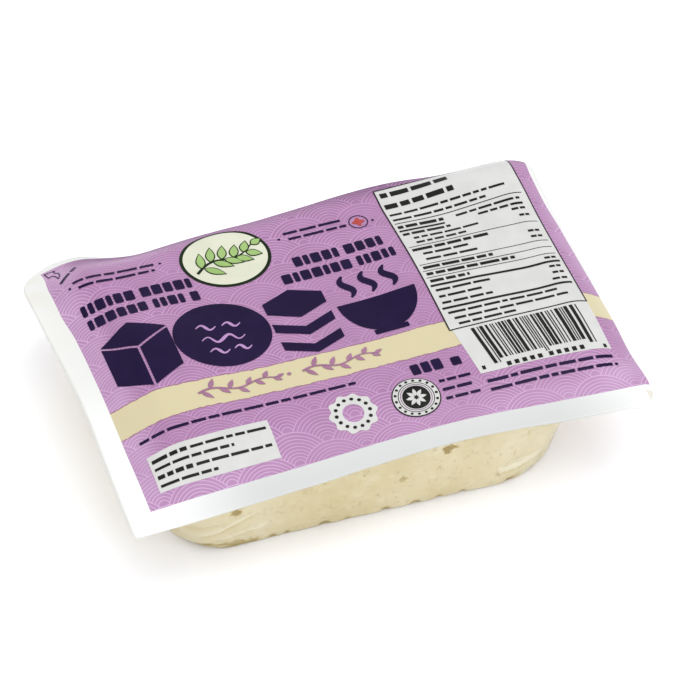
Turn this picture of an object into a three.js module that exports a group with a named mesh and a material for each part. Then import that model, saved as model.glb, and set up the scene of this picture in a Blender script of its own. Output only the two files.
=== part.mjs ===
import * as THREE from 'three';

// A sealed flat pack of firm tofu, lying on its formed pocket with the printed lid up.
// Millimetres. X runs along the pack, Y from its near side to its far side, Z up from the ground.
// The origin is on the ground, under the middle of the pack.

// ---- driving dimensions ----------------------------------------------------------------

// outlines in plan: where the four sides lie, and the radii of the corners
const lidOutline = {
  left: -77, right: 77, near: -56, far: 56,
  nearRight: 10, farRight: 5, farLeft: 12, nearLeft: 1.2,
};

// where the two films part, at the top of the pocket
const footOutline = {
  left: -68, right: 65, near: -46.5, far: 47.5,
  nearRight: 17, farRight: 15, farLeft: 16, nearLeft: 17,
};

// the pocket just above its rounded bottom edge
const heelOutline = {
  left: -60.5, right: 55, near: -44, far: 42.5,
  nearRight: 16, farRight: 15, farLeft: 14, nearLeft: 15,
};
const bottomEdge = 4.5;         // radius between the bottom and the walls

// a slim ellipse along the middle, where rings of faces end: its half length and half width
const spine = { length: 56, width: 6, bottomShare: 0.8 };  // bottomShare shortens it underneath

const lidThickness = 0.5;
const filmThickness = 0.4;
const weldGap = 0.4;            // air between the lid and the clear film, which are welded
const rimClearance = 0.14;      // the rim starts this part of the way from the foot to its next ring

// heights of the lid's upper side
const blockLevel = 33.6;        // over the block
const nearRim = { level: 28, cornerLevel: 27, rise: 1.6, centre: 20, spread: 42 };
const leftRim = { level: 28.5, width: 22 };      // width of the slope up to the block
const cornerReach = 40;         // how far the near left corner's droop reaches along the rim
const nearSlope = { start: -52, width: 22 };
const rightDroop = { start: 64, reach: 13, drop: 6, farStart: 24, farKeep: 0.5 };
const farRoll = { start: 43, radius: 8.5 };
const peelCorner = { from: -38, to: -66, keep: 0.38 };   // the far rim stays up at this end

// soft swells and hollows of the film over the block
const swells = [
  { x: -50, y: 12, spreadX: 12, spreadY: 26, height: 2.4 },
  { x: -8, y: 5, spreadX: 18, spreadY: 20, height: -0.5 },
  { x: 29, y: 9, spreadX: 8, spreadY: 14, height: 1.4 },
  { x: 52, y: 24, spreadX: 10, spreadY: 10, height: 0.8 },
];

// the near edge is drawn in by the vacuum, the left edge a little
const nearPull = { depth: 3.4, centre: 17, leftSpread: 30, rightSpread: 22 };
const leftPull = { depth: 1.2, centre: 8, spread: 30, start: -38.5 };

// the near right corner of the rim is bent down
const bentCorner = { x: 73, y: -49, drop: 3, reach: 5 };

// steps of the mesh
const longSteps = 15;           // along each long side
const shortSteps = 9;           // along each short side
const cornerSteps = 4;          // round each corner
const rimSteps = [0.5];         // rings between the lid's edge and the foot
const topSteps = [0.14, 0.3, 0.5, 0.75];         // rings between the foot and the spine
const wallSteps = [0.35, 0.7];  // rings between the heel and the foot
const edgeAngles = [0, 32, 62, 90];              // degrees round the bottom edge

// ---- small helpers ---------------------------------------------------------------------

const clamp01 = (t) => Math.min(1, Math.max(0, t));

const smooth = (t) => {
  const c = clamp01(t);
  return c * c * (3 - 2 * c);
};

const mix = (a, b, t) => a + (b - a) * t;

const bell = (distance, spread) => Math.exp(-0.5 * (distance / spread) ** 2);

// ---- the height of the lid's upper side -------------------------------------------------

function swellHeight(x, y) {
  return swells.reduce(
    (sum, s) => sum + s.height * bell(x - s.x, s.spreadX) * bell(y - s.y, s.spreadY), 0);
}

function rimHeight(x, y) {
  const pastCorner = smooth((x - lidOutline.left) / cornerReach);
  const near = mix(nearRim.cornerLevel, nearRim.level, pastCorner)
    + nearRim.rise * bell(x - nearRim.centre, nearRim.spread);
  const towardsFar = smooth((y - lidOutline.near) / cornerReach);
  return mix(near, leftRim.level, towardsFar);
}

function farDrop(x, y) {
  const past = Math.max(0, y - farRoll.start);
  const atPeel = smooth((x - peelCorner.from) / (peelCorner.to - peelCorner.from));
  return mix(1, peelCorner.keep, atPeel) * past * past / (2 * farRoll.radius);
}

function rightDrop(x, y) {
  const past = Math.max(0, x - rightDroop.start) / rightDroop.reach;
  const farness = smooth((y - rightDroop.farStart) / (lidOutline.far - rightDroop.farStart));
  return rightDroop.drop * mix(1, rightDroop.farKeep, farness) * past * past;
}

// The near right corner is bent down past a fold that runs slantwise across it.
function cornerDrop(x, y) {
  const pastFold = ((x - bentCorner.x) - (y - bentCorner.y)) / Math.SQRT2;
  return bentCorner.drop * smooth(pastFold / bentCorner.reach);
}

function lidHeight(x, y) {
  const rim = rimHeight(x, y);
  const leftRise = smooth((x - lidOutline.left) / leftRim.width);
  const nearRise = smooth((y - nearSlope.start) / nearSlope.width);
  const level = blockLevel + swellHeight(x, y);
  return mix(rim, level, leftRise * nearRise)
    - rightDrop(x, y) * nearRise - farDrop(x, y) - cornerDrop(x, y);
}

// ---- outlines and rings -----------------------------------------------------------------

// Points of a rounded outline, anticlockwise from the near left corner's end.
// Every outline has the same number of points, so that rings can be joined.
function outlinePoints(o) {
  const points = [];
  const side = (x0, y0, x1, y1, steps) => {
    for (let i = 0; i < steps; i += 1) {
      points.push(new THREE.Vector2(mix(x0, x1, i / steps), mix(y0, y1, i / steps)));
    }
  };
  const corner = (cx, cy, radius, startDegrees) => {
    for (let i = 0; i < cornerSteps; i += 1) {
      const angle = THREE.MathUtils.degToRad(startDegrees + 90 * i / cornerSteps);
      points.push(new THREE.Vector2(cx + radius * Math.cos(angle), cy + radius * Math.sin(angle)));
    }
  };
  side(o.left + o.nearLeft, o.near, o.right - o.nearRight, o.near, longSteps);
  corner(o.right - o.nearRight, o.near + o.nearRight, o.nearRight, -90);
  side(o.right, o.near + o.nearRight, o.right, o.far - o.farRight, shortSteps);
  corner(o.right - o.farRight, o.far - o.farRight, o.farRight, 0);
  side(o.right - o.farRight, o.far, o.left + o.farLeft, o.far, longSteps);
  corner(o.left + o.farLeft, o.far - o.farLeft, o.farLeft, 90);
  side(o.left, o.far - o.farLeft, o.left, o.near + o.nearLeft, shortSteps);
  corner(o.left + o.nearLeft, o.near + o.nearLeft, o.nearLeft, 180);
  return points;
}

// The lid's edge, with its near and left sides drawn in.
function drawnIn(points) {
  return points.map((p) => {
    const spread = p.x < nearPull.centre ? nearPull.leftSpread : nearPull.rightSpread;
    const nearness = smooth(-p.y / lidOutline.far);
    const leftness = smooth((leftPull.start - p.x) / (leftPull.start - lidOutline.left));
    return new THREE.Vector2(
      p.x + leftPull.depth * leftness * bell(p.y - leftPull.centre, leftPull.spread),
      p.y + nearPull.depth * nearness * bell(p.x - nearPull.centre, spread));
  });
}

// Points of the spine's ellipse, each in the direction of its partner on the foot.
function spinePoints(partners) {
  return partners.map((p) => {
    const angle = Math.atan2(p.y / footOutline.far, p.x / footOutline.right);
    return new THREE.Vector2(spine.length * Math.cos(angle), spine.width * Math.sin(angle));
  });
}

const between = (from, to, t) => from.map((p, i) => p.clone().lerp(to[i], t));

const onLid = (points) => points.map((p) => new THREE.Vector3(p.x, p.y, lidHeight(p.x, p.y)));

const lowered = (ring, by) => ring.map((p) => new THREE.Vector3(p.x, p.y, p.z - by));

// ---- closed bodies from rings -----------------------------------------------------------

// Triangles across a slim ring, in strips from its near side to its far side.
function capFaces(count, offset, facesUp) {
  const faces = [];
  const lastNear = longSteps + cornerSteps + Math.floor(shortSteps / 2);
  const partner = (i) => 2 * (longSteps + cornerSteps) + shortSteps - i;
  const index = (i) => offset + (i + count) % count;
  for (let i = lastNear - count / 2 + 1; i < lastNear; i += 1) {
    const [a, b, c, d] = [i, i + 1, partner(i + 1), partner(i)].map(index);
    if (b !== c) faces.push(facesUp ? [a, b, c] : [a, c, b]);
    if (a !== d) faces.push(facesUp ? [a, c, d] : [a, d, c]);
  }
  return faces;
}

const planDistance = (p) => Math.hypot(p.x, p.y);

// Joins rings, each anticlockwise from above, that run outwards, up and inwards again.
// A loop joins its last ring to its first; otherwise both ends are capped.
// Each quad is split from its outer side's start to its inner side's end, so that
// the facets of an upper side and an underside are parallel.
function bodyFromRings(rings, isLoop) {
  const count = rings[0].length;
  const faces = [];
  const joins = isLoop ? rings.length : rings.length - 1;
  for (let j = 0; j < joins; j += 1) {
    const nextRing = rings[(j + 1) % rings.length];
    const here = j * count;
    const next = ((j + 1) % rings.length) * count;
    for (let k = 0; k < count; k += 1) {
      const l = (k + 1) % count;
      if (planDistance(nextRing[k]) > planDistance(rings[j][k])) {
        faces.push([here + k, here + l, next + k], [here + l, next + l, next + k]);
      } else {
        faces.push([here + k, here + l, next + l], [here + k, next + l, next + k]);
      }
    }
  }
  if (!isLoop) {
    faces.push(...capFaces(count, 0, false));
    faces.push(...capFaces(count, (rings.length - 1) * count, true));
  }
  const geometry = new THREE.BufferGeometry();
  const positions = rings.flat().flatMap((p) => [p.x, p.y, p.z]);
  geometry.setAttribute('position', new THREE.Float32BufferAttribute(positions, 3));
  geometry.setIndex(faces.flat());
  geometry.computeVertexNormals();
  return geometry;
}

// ---- the rings that the three parts share ------------------------------------------------

const edgePoints = drawnIn(outlinePoints(lidOutline));
const footPoints = outlinePoints(footOutline);
const middlePoints = spinePoints(footPoints);

const rimRings = [
  onLid(edgePoints),
  ...rimSteps.map((t) => onLid(between(edgePoints, footPoints, t))),
];
const topRings = [
  onLid(footPoints),
  ...topSteps.map((t) => onLid(between(footPoints, middlePoints, t))),
  onLid(middlePoints),
];

// ---- the parts ---------------------------------------------------------------------------

function part(name, geometry, colour, roughness) {
  const material = new THREE.MeshStandardMaterial({ color: colour, roughness, metalness: 0 });
  const mesh = new THREE.Mesh(geometry, material);
  mesh.name = name;
  return mesh;
}

// The printed film: its underside from the middle outwards, then its upper side back again.
function printedLid() {
  const upper = [...rimRings, ...topRings];
  const under = upper.map((ring) => lowered(ring, lidThickness)).reverse();
  return part('printed_lid', bodyFromRings([...under, ...upper], false), 0xbd90c9, 0.4);
}

// The clear film's rim, welded under the lid all round.
function clearRim() {
  const innerRing = between(topRings[0], rimRings[rimRings.length - 1], rimClearance);
  const upper = [...rimRings, innerRing].map((ring) => lowered(ring, lidThickness + weldGap));
  const under = upper.map((ring) => lowered(ring, filmThickness)).reverse();
  return part('clear_rim', bodyFromRings([...under, ...upper], true), 0xeef0ee, 0.2);
}

// The block in its clear pocket, solid out to the film and up to the lid.
function filledPocket() {
  const heelPoints = outlinePoints(heelOutline);
  const inset = (by) => outlinePoints({
    ...heelOutline,
    left: heelOutline.left + by, right: heelOutline.right - by,
    near: heelOutline.near + by, far: heelOutline.far - by,
  });
  const bottomMiddle = middlePoints.map((p) => new THREE.Vector3(p.x * spine.bottomShare, p.y, 0));
  const bottomRings = edgeAngles.map((degrees) => {
    const angle = THREE.MathUtils.degToRad(degrees);
    const z = bottomEdge * (1 - Math.cos(angle));
    return inset(bottomEdge * (1 - Math.sin(angle))).map((p) => new THREE.Vector3(p.x, p.y, z));
  });
  const upper = topRings.map((ring) => lowered(ring, lidThickness + weldGap));
  const heelRing = heelPoints.map((p) => new THREE.Vector3(p.x, p.y, bottomEdge));
  const wallRings = wallSteps.map((t) => between(heelRing, upper[0], t));
  const rings = [bottomMiddle, ...bottomRings, ...wallRings, ...upper];
  return part('tofu_pocket', bodyFromRings(rings, false), 0xdccda2, 0.35);
}

const pack = new THREE.Group();
pack.name = 'tofu_pack';
pack.add(printedLid(), clearRim(), filledPocket());

export default pack;
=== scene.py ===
import math
import random
import bpy
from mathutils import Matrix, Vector, noise


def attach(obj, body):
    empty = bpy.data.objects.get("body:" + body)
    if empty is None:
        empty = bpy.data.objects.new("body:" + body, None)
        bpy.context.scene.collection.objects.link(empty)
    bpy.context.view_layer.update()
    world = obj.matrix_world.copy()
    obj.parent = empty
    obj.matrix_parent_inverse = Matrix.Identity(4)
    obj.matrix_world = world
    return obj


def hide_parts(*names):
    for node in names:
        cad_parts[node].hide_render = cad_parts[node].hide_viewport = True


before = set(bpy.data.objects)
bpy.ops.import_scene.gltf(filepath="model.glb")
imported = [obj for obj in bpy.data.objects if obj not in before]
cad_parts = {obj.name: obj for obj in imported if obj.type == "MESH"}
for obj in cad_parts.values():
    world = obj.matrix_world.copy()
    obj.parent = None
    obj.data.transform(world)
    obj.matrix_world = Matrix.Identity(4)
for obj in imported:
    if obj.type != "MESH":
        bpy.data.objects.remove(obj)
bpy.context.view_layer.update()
mm = 0.001
print("frame loaded")

# ---- the lid's shape, in millimetres, with the values that the solids have

lidShape = {
    "left": -77, "right": 77, "near": -56, "far": 56,
    "nearRight": 10, "farRight": 5, "farLeft": 12, "nearLeft": 1.2,
    "blockLevel": 33.6,
    "nearRim": {"level": 28, "cornerLevel": 27, "rise": 1.6, "centre": 20, "spread": 42},
    "leftRim": {"level": 28.5, "width": 22},
    "leftCut": {"depth": 1.1, "centre": -12, "spread": 24, "start": -68, "width": 9},
    "cornerReach": 40,
    "nearSlope": {"start": -52, "width": 22},
    "rightDroop": {"start": 64, "reach": 13, "drop": 6, "farStart": 24, "farKeep": 0.5},
    "farRoll": {"start": 43, "radius": 8.5},
    "peelCorner": {"from": -38, "to": -66, "keep": 0.38},
    "swells": [(-50, 12, 12, 26, 2.4), (-8, 5, 18, 20, -0.5), (29, 9, 8, 14, 1.4), (52, 24, 10, 10, 0.8)],
    "nearPull": {"depth": 3.4, "centre": 17, "leftSpread": 30, "rightSpread": 22, "start": -36},
    "leftPull": {"depth": 1.2, "centre": 8, "spread": 30, "start": -55},
    "bentCorner": {"x": 73, "y": -49, "drop": 3, "reach": 5},
}
footOutline = {
    "left": -68, "right": 65, "near": -46.5, "far": 47.5,
    "nearRight": 17, "farRight": 15, "farLeft": 16, "nearLeft": 17,
}
heelOutline = {
    "left": -60.5, "right": 55, "near": -44, "far": 42.5,
    "nearRight": 16, "farRight": 15, "farLeft": 14, "nearLeft": 15,
}
# the block's bottom edge: sharp along the near side, rounder at the corners
bottomEdge = {"near": 1.3, "corner": 3.5, "middle": -2.5, "halfLength": 44, "blend": 12, "back": -40}

# folds that the vacuum draws into the film: x, y, spread in x, spread in y, height
puckers = [
    (-63.5, 38, 4.8, 5.5, 2.2), (-51, 27, 7, 8, -0.7), (-65, 5, 1.6, 13, 0.45), (-60, 6, 2.4, 14, -0.35),
    (46, 31, 8, 5, -1.1), (68, 33, 6, 6, 0.9), (60, 43, 12, 6, 1.6), (43, 3, 5, 9, 0.45),
    (60, 3, 5, 9, -0.45), (72, -34, 9, 7, -1.5), (-69, -26, 13, 9, -1.2), (-46, 50, 11, 5, -2.7),
    (22, 52, 15, 4.5, 2.2), (36, 53.5, 9, 3.2, 1.6), (33, 42, 9, 5.5, -1.0), (74, 51, 5, 5, 1.2),
]
# ripples all over it: size in x and y, seed, height
ripples = [(13, 9, 3.1, 0.16), (4, 4, 7.7, 0.03)]


def smooth(t):
    c = min(1.0, max(0.0, t))
    return c * c * (3 - 2 * c)


def mix(a, b, t):
    return a + (b - a) * t


def bell(distance, spread):
    return math.exp(-0.5 * (distance / spread) ** 2)


def lidHeight(x, y):
    s = lidShape
    nearRim = s["nearRim"]
    near = mix(nearRim["cornerLevel"], nearRim["level"], smooth((x - s["left"]) / s["cornerReach"]))
    near += nearRim["rise"] * bell(x - nearRim["centre"], nearRim["spread"])
    rim = mix(near, s["leftRim"]["level"], smooth((y - s["near"]) / s["cornerReach"]))
    swell = sum(h * bell(x - sx, wx) * bell(y - sy, wy) for sx, sy, wx, wy, h in s["swells"])
    leftRise = smooth((x - s["left"]) / s["leftRim"]["width"])
    nearRise = smooth((y - s["nearSlope"]["start"]) / s["nearSlope"]["width"])
    droop = s["rightDroop"]
    farness = smooth((y - droop["farStart"]) / (s["far"] - droop["farStart"]))
    pastRight = max(0, x - droop["start"]) / droop["reach"]
    rightDrop = droop["drop"] * mix(1, droop["farKeep"], farness) * pastRight ** 2
    peel = s["peelCorner"]
    keep = mix(1, peel["keep"], smooth((x - peel["from"]) / (peel["to"] - peel["from"])))
    farDrop = keep * max(0, y - s["farRoll"]["start"]) ** 2 / (2 * s["farRoll"]["radius"])
    bent = s["bentCorner"]
    pastFold = ((x - bent["x"]) - (y - bent["y"])) / math.sqrt(2)
    cornerDrop = bent["drop"] * smooth(pastFold / bent["reach"])
    level = s["blockLevel"] + swell
    return mix(rim, level, leftRise * nearRise) - rightDrop * nearRise - farDrop - cornerDrop


def puckerHeight(x, y):
    total = 0.0
    for px, py, along, across, height in puckers:
        if abs(x - px) < 4 * along and abs(y - py) < 4 * across:
            total += height * bell(x - px, along) * bell(y - py, across)
    return total


def waver(x, y, sizeX, sizeY, seed):
    # soft noise in the plane, from about -1 to 1
    return noise.noise(Vector((x / sizeX, y / sizeY, seed)))


def drawnIn(x, y):
    # where a point of the flat film lies once its near and left sides are drawn in
    pull = lidShape["nearPull"]
    spread = pull["leftSpread"] if x < pull["centre"] else pull["rightSpread"]
    nearness = smooth((pull["start"] - y) / (pull["start"] - lidShape["near"]))
    side = lidShape["leftPull"]
    leftness = smooth((side["start"] - x) / (side["start"] - lidShape["left"]))
    return (x + side["depth"] * leftness * bell(y - side["centre"], side["spread"]),
            y + pull["depth"] * nearness * bell(x - pull["centre"], spread))


def filmHeight(x, y):
    rippled = sum(height * waver(x, y, sizeX, sizeY, seed) for sizeX, sizeY, seed, height in ripples)
    return lidHeight(x, y) + puckerHeight(x, y) + rippled


def settle(x, y, lift=0.0):
    # a point of the flat film, in its place on the pack, in metres
    px, py = drawnIn(x, y)
    return Vector((px, py, filmHeight(px, py) + lift)) * mm


# ---- small helpers for meshes and materials

def tone(code):
    # a screen colour such as "c08fcb", as linear values
    values = [int(code[i:i + 2], 16) / 255 for i in (0, 2, 4)]
    linear = [v / 12.92 if v <= 0.04045 else ((v + 0.055) / 1.055) ** 2.4 for v in values]
    return (*linear, 1.0)


def newGrid(name, across, along):
    bpy.ops.object.select_all(action="DESELECT")
    bpy.ops.mesh.primitive_grid_add(x_subdivisions=across, y_subdivisions=along, size=2, location=(0, 0, 0))
    piece = bpy.context.object
    piece.name = name
    piece.data.name = name
    return piece


def selectOnly(piece):
    bpy.ops.object.select_all(action="DESELECT")
    piece.select_set(True)
    bpy.context.view_layer.objects.active = piece


def thicken(piece, thickness, side):
    # turns a sheet into a thin solid, on the side its faces look to for 1, on the other for -1
    sheet = piece.modifiers.new("sheet", "SOLIDIFY")
    sheet.thickness = thickness * mm
    sheet.offset = side
    selectOnly(piece)
    bpy.ops.object.modifier_apply(modifier=sheet.name)


uvSpan = 200.0   # millimetres of flat film in the unit square of its UV map


def layOnFilm(piece, place, lift):
    # bends a flat grid into a shape on the film, and keeps the flat place as its UV map
    flat = [place(v.co.x, v.co.y) for v in piece.data.vertices]
    for vertex, (x, y) in zip(piece.data.vertices, flat):
        vertex.co = settle(x, y, lift)
    layer = piece.data.uv_layers[0]
    layer.name = "film"
    for loop in piece.data.loops:
        x, y = flat[loop.vertex_index]
        layer.data[loop.index].uv = (x / uvSpan + 0.5, y / uvSpan + 0.5)


def boxPlace(left, right, near, far, radii=(0, 0, 0, 0)):
    # a box, and the radii of its corners, anticlockwise from the near left one
    corners = list(zip((left, right, right, left), (near, near, far, far), (-1, 1, 1, -1), (-1, -1, 1, 1),
                       radii))

    def place(u, v):
        x, y = mix(left, right, (u + 1) / 2), mix(near, far, (v + 1) / 2)
        for cornerX, cornerY, signX, signY, radius in corners:
            a = (x - cornerX) * signX / radius + 1 if radius else 0
            b = (y - cornerY) * signY / radius + 1 if radius else 0
            if a > 0 and b > 0:
                return (cornerX + signX * radius * (a * math.sqrt(1 - b * b / 2) - 1),
                        cornerY + signY * radius * (b * math.sqrt(1 - a * a / 2) - 1))
        return x, y
    return place


def joinPieces(name, pieces):
    bpy.ops.object.select_all(action="DESELECT")
    for piece in pieces:
        piece.select_set(True)
    bpy.context.view_layer.objects.active = pieces[0]
    if len(pieces) > 1:
        bpy.ops.object.join()
    joined = bpy.context.object
    joined.name = name
    joined.data.name = name
    return joined


def finishPiece(piece, material, slot, *nodes):
    piece.data.materials.clear()
    piece.data.materials.append(material)
    selectOnly(piece)
    bpy.ops.object.shade_smooth()
    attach(piece, "root")
    if nodes:
        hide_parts(*nodes)


def newMaterial(name):
    material = bpy.data.materials.new(name)
    material.use_nodes = True
    tree = material.node_tree
    return material, tree, tree.nodes["Principled BSDF"]


def setSockets(shader, **values):
    # a name such as Specular_IOR_Level stands for the socket with spaces in its place
    for label, value in values.items():
        shader.inputs[label.replace("_", " ")].default_value = value


def feed(tree, value, socket):
    # a socket is linked, and anything else is set
    if isinstance(value, bpy.types.NodeSocket):
        tree.links.new(value, socket)
    else:
        socket.default_value = value


def newGroup(name, inputs, outputs):
    group = bpy.data.node_groups.new(name, "ShaderNodeTree")
    for label, kind, value in inputs:
        socket = group.interface.new_socket(label, in_out="INPUT", socket_type=kind)
        if value is not None:
            socket.default_value = value
    for label, kind in outputs:
        group.interface.new_socket(label, in_out="OUTPUT", socket_type=kind)
    start = group.nodes.new("NodeGroupInput")
    end = group.nodes.new("NodeGroupOutput")
    return group, start.outputs, end.inputs


def mathNode(tree, operation, *values):
    node = tree.nodes.new("ShaderNodeMath")
    node.operation = operation
    for socket, value in zip(node.inputs, values):
        feed(tree, value, socket)
    return node.outputs[0]


def plus(tree, a, b):
    return mathNode(tree, "ADD", a, b)


def minus(tree, a, b):
    return mathNode(tree, "SUBTRACT", a, b)


def times(tree, a, b):
    return mathNode(tree, "MULTIPLY", a, b)


def rampNode(tree, value, low, high, toLow=0.0, toHigh=1.0):
    node = tree.nodes.new("ShaderNodeMapRange")
    node.interpolation_type = "SMOOTHSTEP"
    tree.links.new(value, node.inputs["Value"])
    for label, amount in (("From Min", low), ("From Max", high), ("To Min", toLow), ("To Max", toHigh)):
        feed(tree, amount, node.inputs[label])
    return node.outputs["Result"]


def noiseNode(tree, vector, scale, detail=2.0, rough=0.5):
    node = tree.nodes.new("ShaderNodeTexNoise")
    setSockets(node, Scale=scale, Detail=detail, Roughness=rough)
    tree.links.new(vector, node.inputs["Vector"])
    return node.outputs["Fac"]


def noiseMask(tree, place, scale, detail, rough, low, high, toLow=0.0, toHigh=1.0):
    return rampNode(tree, noiseNode(tree, place, scale, detail, rough), low, high, toLow, toHigh)


def mixColour(tree, factor, a, b):
    node = tree.nodes.new("ShaderNodeMix")
    node.data_type = "RGBA"
    # a Mix node has a set of sockets for each kind of value: here 0 is the factor, 6 and 7 are
    # the colours, and 2 is the result
    for index, value in ((0, factor), (6, a), (7, b)):
        feed(tree, value, node.inputs[index])
    return node.outputs[2]


# ---- shader groups: wave pattern, box mask, film skin

number = "NodeSocketFloat"
waveLook = {
    "ringWave": 0.96,   # the cosine at which a ring has its full strength
    "bare": 1.2,        # no rings nearer the middle than this
    "rimGap": 0.7, "rimWidth": 0.26,
}
skinLook = {"broad": 60.0, "fine": 900.0, "grain": 3200.0, "heights": (0.5, 0.12, 0.03), "depth": 0.0004}


def makeWaveGroup():
    # overlapping fans of rings: the nearest row that covers a point is the one that shows
    group, inp, out = newGroup(
        "overlappingWaves",
        [("X", number, 0.0), ("Y", number, 0.0), ("Radius", number, 9.84), ("Stretch", number, 1.098),
         ("First", number, 0.63), ("Thin", number, 0.5)],
        [("Lines", number)])
    y = mathNode(group, "DIVIDE", inp["Y"], inp["Stretch"])
    rowStep = times(group, inp["Radius"], 0.5)
    backwards = times(group, inp["Radius"], -1.0)
    row = mathNode(group, "CEIL", mathNode(group, "DIVIDE", minus(group, y, inp["Radius"]), rowStep))
    odd = mathNode(group, "FLOORED_MODULO", row, 2.0)
    distances = []
    for step, shift in ((0, odd), (1, minus(group, 1.0, odd))):
        dy = minus(group, y, times(group, plus(group, row, float(step)), rowStep))
        sideways = minus(group, inp["X"], times(group, shift, inp["Radius"]))
        dx = mathNode(group, "WRAP", sideways, inp["Radius"], backwards)
        distances.append(mathNode(group, "SQRT", plus(group, times(group, dx, dx), times(group, dy, dy))))
    isFront = mathNode(group, "LESS_THAN", distances[0], inp["Radius"])
    front = times(group, distances[0], isFront)
    back = times(group, distances[1], minus(group, 1.0, isFront))
    distance = plus(group, front, back)
    # rings a millimetre apart, none at the middle, and a wider gap inside the outer one
    turns = times(group, minus(group, distance, inp["First"]), 2 * math.pi)
    rings = rampNode(group, mathNode(group, "COSINE", turns), inp["Thin"], waveLook["ringWave"])
    rings = times(group, rings, mathNode(group, "GREATER_THAN", distance, waveLook["bare"]))
    fromRim = minus(group, inp["Radius"], distance)
    rings = times(group, rings, mathNode(group, "GREATER_THAN", fromRim, waveLook["rimGap"]))
    rim = mathNode(group, "LESS_THAN", fromRim, waveLook["rimWidth"])
    group.links.new(mathNode(group, "MAXIMUM", rings, rim), out["Lines"])
    return group


def makeBoxGroup():
    # 1 inside a box with soft edges
    group, inp, out = newGroup(
        "printedField",
        [("X", number, 0.0), ("Y", number, 0.0), ("Left", number, -1.0), ("Right", number, 1.0),
         ("Near", number, -1.0), ("Far", number, 1.0), ("Edge", number, 0.1)],
        [("Inside", number)])
    inside = 1.0
    for a, b in (("X", "Left"), ("Right", "X"), ("Y", "Near"), ("Far", "Y")):
        past = mathNode(group, "DIVIDE", minus(group, inp[a], inp[b]), inp["Edge"])
        inside = times(group, rampNode(group, past, -0.5, 0.5), inside)
    group.links.new(inside, out["Inside"])
    return group


def makeSkinGroup():
    # gloss and fine relief of thin film: broad patches, fine orange peel
    group, inp, out = newGroup(
        "filmSkin",
        [("Place", "NodeSocketVector", None), ("Gloss", number, 0.3), ("Spread", number, 0.1)],
        [("Roughness", number), ("Height", number)])
    broad = noiseNode(group, inp["Place"], skinLook["broad"], 3.0, 0.55)
    fine = noiseNode(group, inp["Place"], skinLook["fine"], 2.0, 0.5)
    grain = noiseNode(group, inp["Place"], skinLook["grain"], 1.0, 0.5)
    spread = times(group, minus(group, broad, 0.5), inp["Spread"])
    group.links.new(plus(group, inp["Gloss"], spread), out["Roughness"])
    parts = [times(group, layer, height) for layer, height in zip((broad, fine, grain), skinLook["heights"])]
    group.links.new(plus(group, plus(group, parts[0], parts[1]), parts[2]), out["Height"])
    return group


waveGroup = makeWaveGroup()
boxGroup = makeBoxGroup()
skinGroup = makeSkinGroup()


def placeGroup(tree, group, **values):
    node = tree.nodes.new("ShaderNodeGroup")
    node.node_tree = group
    for label, value in values.items():
        feed(tree, value, node.inputs[label])
    return node.outputs


def filmPlace(tree):
    # millimetres on the flat film, from the piece's own UV map
    uv = tree.nodes.new("ShaderNodeUVMap")
    uv.uv_map = "film"
    split = tree.nodes.new("ShaderNodeSeparateXYZ")
    tree.links.new(uv.outputs["UV"], split.inputs["Vector"])
    return [times(tree, minus(tree, split.outputs[axis], 0.5), uvSpan) for axis in "XY"]


def addBump(tree, shader, height, strength, distance):
    bump = tree.nodes.new("ShaderNodeBump")
    setSockets(bump, Strength=strength, Distance=distance)
    tree.links.new(height, bump.inputs["Height"])
    tree.links.new(bump.outputs["Normal"], shader.inputs["Normal"])


def dressFilmSkin(tree, shader, gloss, spread, strength):
    place = tree.nodes.new("ShaderNodeTexCoord").outputs["Object"]
    skin = placeGroup(tree, skinGroup, Place=place, Gloss=gloss, Spread=spread)
    addBump(tree, shader, skin["Height"], strength, skinLook["depth"])
    tree.links.new(skin["Roughness"], shader.inputs["Roughness"])
    return place


# ---- printed lid

lidLook = {
    # the paler margin tones are painted light
    "margin": "c9cbca", "marginEndsLit": "e0e1de", "marginNearLit": "eceeed", "beige": "d8d3c8",
    # the far lilac is painted shade for the rolled far edge
    "lilac": "a1759f", "lilacDeep": "9b6f98", "lilacFarShade": "6e4a6d", "lilacSheen": "b793b8",
    # the pale lilac on the line above and the pale lines are painted sheen
    "lines": "c197c2", "linesSheen": "d8b5da", "band": "c9bf9b", "rim": "8e6076",
    "field": (-69.75, 76.0, -48.0, 52.8), "leftBow": 0.85, "lilacMiddle": -5.0, "marginMiddle": 5.0,
    "bandRange": (-20.9, -10.7), "bandWander": 2.0, "bandRim": 0.3, "brush": (190.0, 5.0, 0.65),
    "pastField": 5, "printEdge": 0.15,
    "facet": {"Left": 61.6, "Right": 63.6, "Near": -54.0, "Far": -49.6, "Edge": 0.5}, "facetLean": 0.25,
    "waveOrigin": (-26.2, -36.6), "gloss": 0.34, "glossSpread": 0.12, "rollDulls": 0.45, "bump": 0.5,
    "specular": 0.4, "thickness": 0.12, "across": 190, "along": 140,
}
# masks over the lid: the measure they follow, where they start and end, and their strength there
lidRamps = {
    "roll": ("y", 43.0, 52.5), "rollAlong": ("x", -68.0, -48.0, 0.2, 1.0),
    # the next three masks place the painted sheen
    "leftSheen": ("x", -59.0, -67.0, 0.0, 0.7),
    "nearSheen": ("y", -38.0, -47.0), "nearSheenAlong": ("fromLilacMiddle", 15.0, 60.0, 0.15, 0.6),
    "cornerSheen": ("y", -30.0, -44.0), "cornerSheenAlong": ("x", 52.0, 72.0),
    "bowStart": ("y", 20.0, 33.0), "bowEnd": ("y", 50.0, 42.0),
    # painted light on the margin: paler at its ends and near side, but not in its middle
    "marginEndsLit": ("fromMarginMiddle", 25.0, 78.0), "marginNearLit": ("y", 8.0, -18.0, 0.0, 0.8),
    "marginInner": ("fromMarginMiddle", 75.0, 40.0),
    "fold": ("x", -66.0, -75.0), "foldAlong": ("y", 12.0, 50.0),
}
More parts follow.
